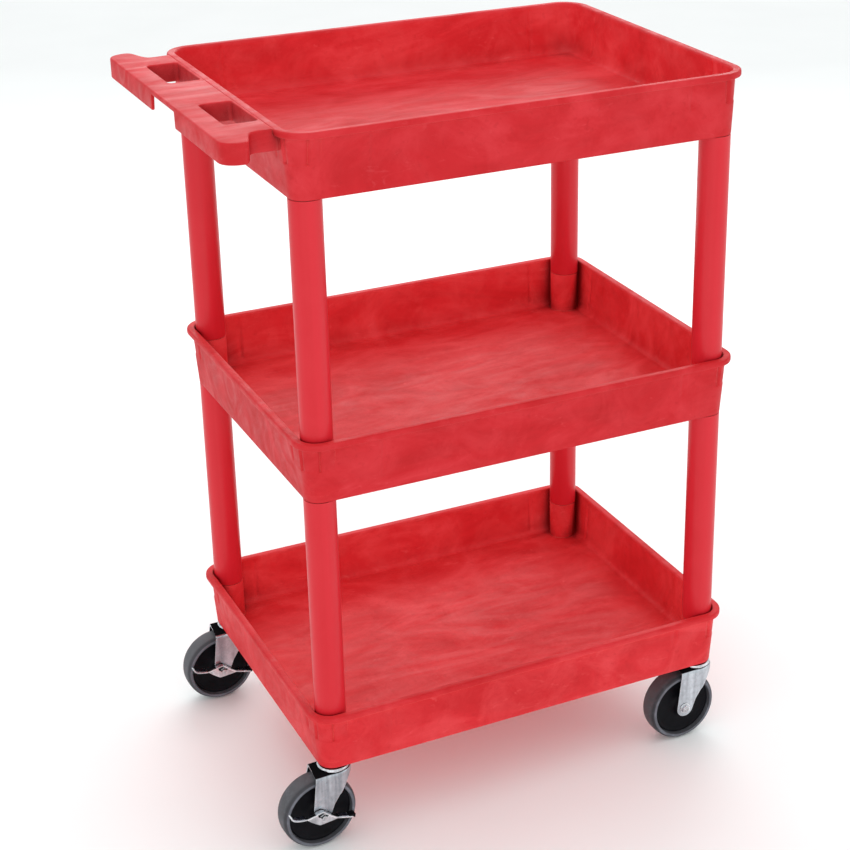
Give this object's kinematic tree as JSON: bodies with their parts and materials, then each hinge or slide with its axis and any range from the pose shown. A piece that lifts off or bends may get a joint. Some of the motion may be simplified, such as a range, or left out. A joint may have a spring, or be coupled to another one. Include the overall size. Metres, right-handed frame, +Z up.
{
  "type": "utility cart",
  "caption": "Rolling utility cart with stacked moulded tubs on tubular corner posts, a push handle at one end and swivel casters, those under the handle with side brake levers.",
  "frame": {"origin": "on the floor, under the middle of the cart's whole box, push handle included", "axes": "+Z up; -X towards the push handle end; the long sides of the tubs face -Y and +Y"},
  "size_m": [0.68, 0.4572, 0.9584],
  "materials": {
    "tub_plastic": "moulded structural plastic, faint swirls, slightly mottled",
    "post_plastic": "smooth extruded tube, soft shine",
    "zinc_plate": "bright zinc plated pressed steel",
    "steel": "plain plated steel",
    "wheel_plastic": "black moulded wheel centre",
    "grey_rubber": "smooth grey non-marking tread"
  },
  "bodies": {
    "cart_frame": {"top_tub": "tub_plastic", "middle_tub": "tub_plastic", "bottom_tub": "tub_plastic", "lower_post_handle_left": "post_plastic", "upper_post_handle_left": "post_plastic", "lower_post_handle_right": "post_plastic", "upper_post_handle_right": "post_plastic", "lower_post_front_left": "post_plastic", "upper_post_front_left": "post_plastic", "lower_post_front_right": "post_plastic", "upper_post_front_right": "post_plastic", "stem_socket_handle_left": "steel", "kingpin_handle_left": "zinc_plate", "swivel_cup_handle_left": "zinc_plate", "stem_socket_handle_right": "steel", "kingpin_handle_right": "zinc_plate", "swivel_cup_handle_right": "zinc_plate", "stem_socket_front_left": "steel", "kingpin_front_left": "zinc_plate", "swivel_cup_front_left": "zinc_plate", "stem_socket_front_right": "steel", "kingpin_front_right": "zinc_plate", "swivel_cup_front_right": "zinc_plate"},
    "caster_handle_left": {"fork_handle_left": "zinc_plate", "ball_ring_handle_left": "steel", "axle_spacer_handle_left": "steel", "axle_bolt_handle_left": "steel", "axle_nut_handle_left": "steel"},
    "wheel_handle_left": {"wheel_core_handle_left": "wheel_plastic", "tyre_handle_left": "grey_rubber"},
    "brake_handle_left": {"brake_lever_handle_left": "zinc_plate", "brake_cam_handle_left": "steel"},
    "caster_handle_right": {"fork_handle_right": "zinc_plate", "ball_ring_handle_right": "steel", "axle_spacer_handle_right": "steel", "axle_bolt_handle_right": "steel", "axle_nut_handle_right": "steel"},
    "wheel_handle_right": {"wheel_core_handle_right": "wheel_plastic", "tyre_handle_right": "grey_rubber"},
    "brake_handle_right": {"brake_lever_handle_right": "zinc_plate", "brake_cam_handle_right": "steel"},
    "caster_front_left": {"fork_front_left": "zinc_plate", "ball_ring_front_left": "steel", "axle_spacer_front_left": "steel", "axle_bolt_front_left": "steel", "axle_nut_front_left": "steel"},
    "wheel_front_left": {"wheel_core_front_left": "wheel_plastic", "tyre_front_left": "grey_rubber"},
    "caster_front_right": {"fork_front_right": "zinc_plate", "ball_ring_front_right": "steel", "axle_spacer_front_right": "steel", "axle_bolt_front_right": "steel", "axle_nut_front_right": "steel"},
    "wheel_front_right": {"wheel_core_front_right": "wheel_plastic", "tyre_front_right": "grey_rubber"}
  },
  "joints": [
    {"name": "swivel_handle_left", "type": "hinge", "parent": "cart_frame", "child": "caster_handle_left", "pos_m": [-0.2376, 0.1966, 0.1115], "axis": [0, 0, 1], "continuous": true},
    {"name": "wheel_spin_handle_left", "type": "hinge", "parent": "caster_handle_left", "child": "wheel_handle_left", "pos_m": [-0.26309, 0.19593, 0.0508], "axis": [0.0262, -0.9997, 0], "continuous": true},
    {"name": "brake_rock_handle_left", "type": "hinge", "parent": "caster_handle_left", "child": "brake_handle_left", "pos_m": [-0.26309, 0.19593, 0.0508], "axis": [0.0262, -0.9997, 0], "range_deg": [0, 28]},
    {"name": "swivel_handle_right", "type": "hinge", "parent": "cart_frame", "child": "caster_handle_right", "pos_m": [-0.2376, -0.1966, 0.1115], "axis": [0, 0, 1], "continuous": true},
    {"name": "wheel_spin_handle_right", "type": "hinge", "parent": "caster_handle_right", "child": "wheel_handle_right", "pos_m": [-0.26308, -0.19749, 0.0508], "axis": [0.0349, -0.9994, 0], "continuous": true},
    {"name": "brake_rock_handle_right", "type": "hinge", "parent": "caster_handle_right", "child": "brake_handle_right", "pos_m": [-0.26308, -0.19749, 0.0508], "axis": [0.0349, -0.9994, 0], "range_deg": [0, 28]},
    {"name": "swivel_front_left", "type": "hinge", "parent": "cart_frame", "child": "caster_front_left", "pos_m": [0.308, 0.1966, 0.1115], "axis": [0, 0, 1], "continuous": true},
    {"name": "wheel_spin_front_left", "type": "hinge", "parent": "caster_front_left", "child": "wheel_front_left", "pos_m": [0.28256, 0.19482, 0.0508], "axis": [0.0698, -0.9976, 0], "continuous": true},
    {"name": "swivel_front_right", "type": "hinge", "parent": "cart_frame", "child": "caster_front_right", "pos_m": [0.308, -0.1966, 0.1115], "axis": [0, 0, 1], "continuous": true},
    {"name": "wheel_spin_front_right", "type": "hinge", "parent": "caster_front_right", "child": "wheel_front_right", "pos_m": [0.2825, -0.19705, 0.0508], "axis": [0.0175, -0.9998, 0], "continuous": true}
  ]
}
